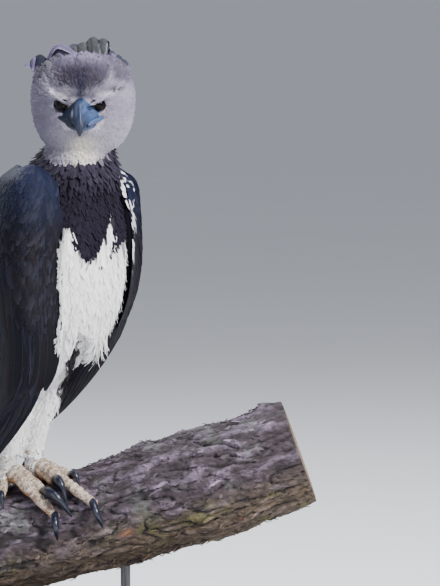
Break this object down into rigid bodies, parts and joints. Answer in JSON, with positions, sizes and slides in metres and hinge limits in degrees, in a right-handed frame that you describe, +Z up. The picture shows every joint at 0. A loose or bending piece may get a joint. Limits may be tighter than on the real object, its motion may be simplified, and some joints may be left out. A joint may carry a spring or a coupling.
{
  "type": "harpy_eagle_model",
  "caption": "Life-size still model of a harpy eagle standing on a cut length of branch, wings folded and head turned to the viewer, held by two rods on a flat base",
  "frame": {"origin": "centre of the underside of the stand's base, on the floor", "axes": "+Z up; +X to the right of the picture, along the branch towards its higher end; +Y away from the camera. The head faces -Y and the body is turned about 47 degrees towards +X"},
  "size_m": [0.696, 0.4184, 1.0358],
  "materials": {
    "bark": "rough bark",
    "base_wood": "satin dark stain",
    "bill_horn": "polished horn",
    "cere_skin": "waxy skin",
    "claw_horn": "polished horn",
    "collar_feather": "soft charcoal feathers",
    "crest_feather": "slate feathers",
    "eye": "wet gloss",
    "head_feather": "soft grey feathers",
    "leg_skin": "scaled skin",
    "rod_steel": "black satin",
    "tail_feather": "dark barred feathers",
    "white_feather": "soft white feathers",
    "wing_feather": "slate-black feathers"
  },
  "bodies": {
    "root": {"bill_lower": "bill_horn", "bill_upper": "bill_horn", "cere": "cere_skin", "claw_hind_left": "claw_horn", "claw_hind_right": "claw_horn", "claw_inner_left": "claw_horn", "claw_inner_right": "claw_horn", "claw_middle_left": "claw_horn", "claw_middle_right": "claw_horn", "claw_outer_left": "claw_horn", "claw_outer_right": "claw_horn", "crest_left": "crest_feather", "crest_right": "crest_feather", "eye_left": "eye", "eye_right": "eye", "foot_left": "leg_skin", "foot_right": "leg_skin", "head": "head_feather", "neck": "collar_feather", "perch": "bark", "shank_left": "leg_skin", "shank_right": "leg_skin", "stand_base": "base_wood", "stand_rod_left": "rod_steel", "stand_rod_right": "rod_steel", "tail": "tail_feather", "thigh_left": "white_feather", "thigh_right": "white_feather", "torso": "white_feather", "wing_left": "wing_feather", "wing_right": "wing_feather"}
  },
  "joints": []
}
